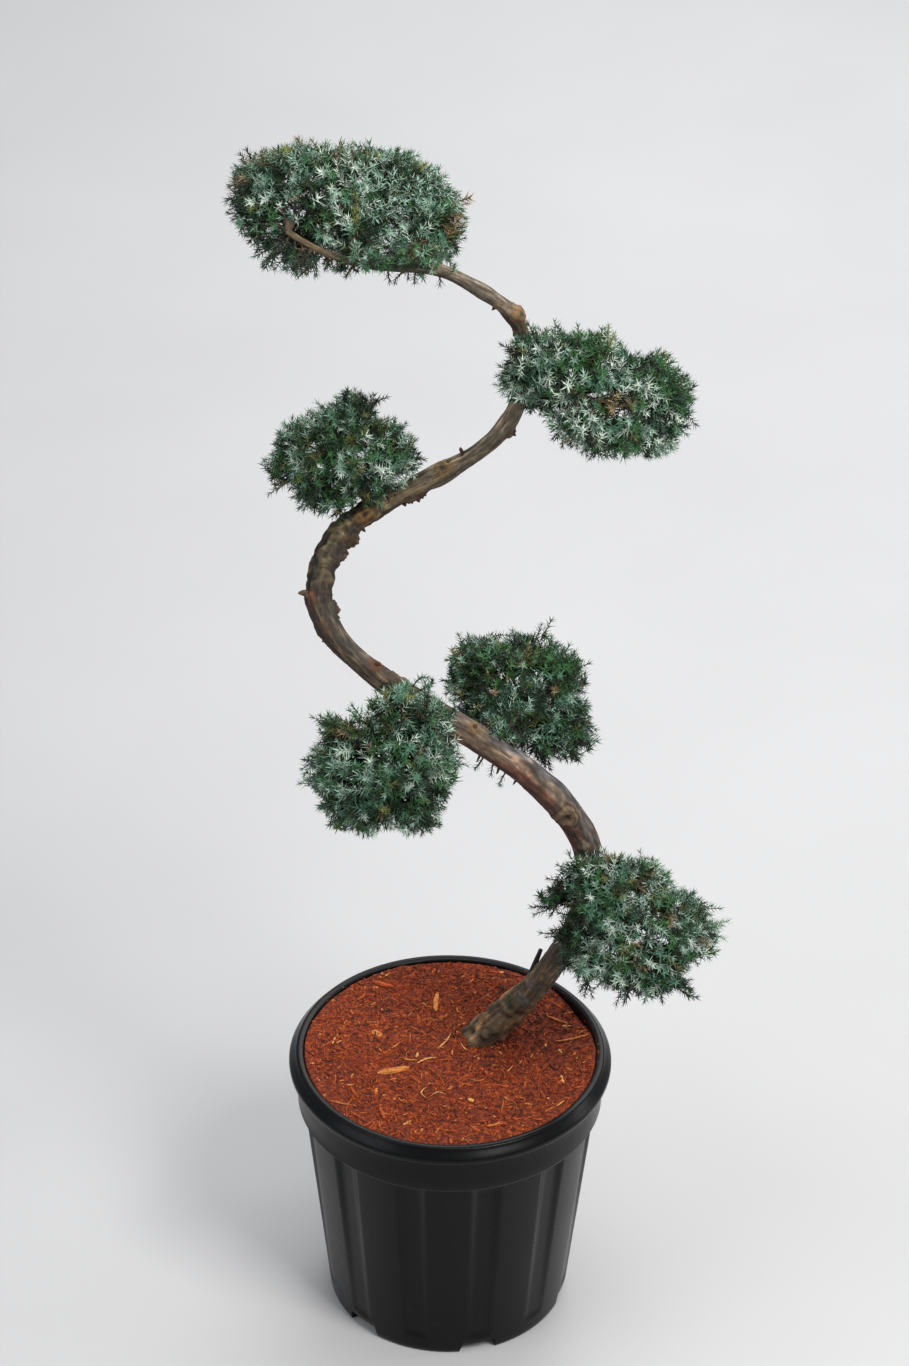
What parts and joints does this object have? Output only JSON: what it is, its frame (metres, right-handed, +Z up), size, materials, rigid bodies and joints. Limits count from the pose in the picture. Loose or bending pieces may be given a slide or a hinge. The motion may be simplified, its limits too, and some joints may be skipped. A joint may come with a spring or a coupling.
{
  "type": "spiral topiary in a pot",
  "caption": "Dwarf conifer trained as an open corkscrew with clipped foliage pads along its bare stem, growing in a fluted round nursery pot topped with bark mulch.",
  "frame": {"origin": "centre of the pot's flat underside, on the pot's axis, at the level it stands on", "axes": "+Z up along the pot's axis; +X to the right of the side the spiral is shown from, towards the lowest pad; -Y towards that side's viewer"},
  "size_m": [0.4246, 0.3246, 1.1776],
  "materials": {
    "container_plastic": "near-black moulded polypropylene, satin, slightly dusty",
    "bark_mulch": "shredded red-brown bark and wood chips, rough, dry",
    "bark": "grey-brown bark, fissured and flaking, with red-brown peeled patches",
    "foliage": "short stiff needles, blue-green with silvery inner faces, matt"
  },
  "bodies": {
    "root": {"pot": "container_plastic", "mulch": "bark_mulch", "stem_foot": "bark", "stem_front_sweep": "bark", "stem_back_sweep": "bark", "stem_neck": "bark", "leader": "bark", "bough_low_right": "bark", "bough_mid_right": "bark", "bough_low_left": "bark", "bough_mid_left": "bark", "bough_high_right": "bark", "bough_top_right": "bark", "bough_top_left": "bark", "stub_crossing": "bark", "stub_foot": "bark", "pad_low_right": "foliage", "pad_mid_right": "foliage", "pad_low_left": "foliage", "pad_mid_left": "foliage", "pad_high_right": "foliage", "pad_top": "foliage"}
  },
  "joints": []
}
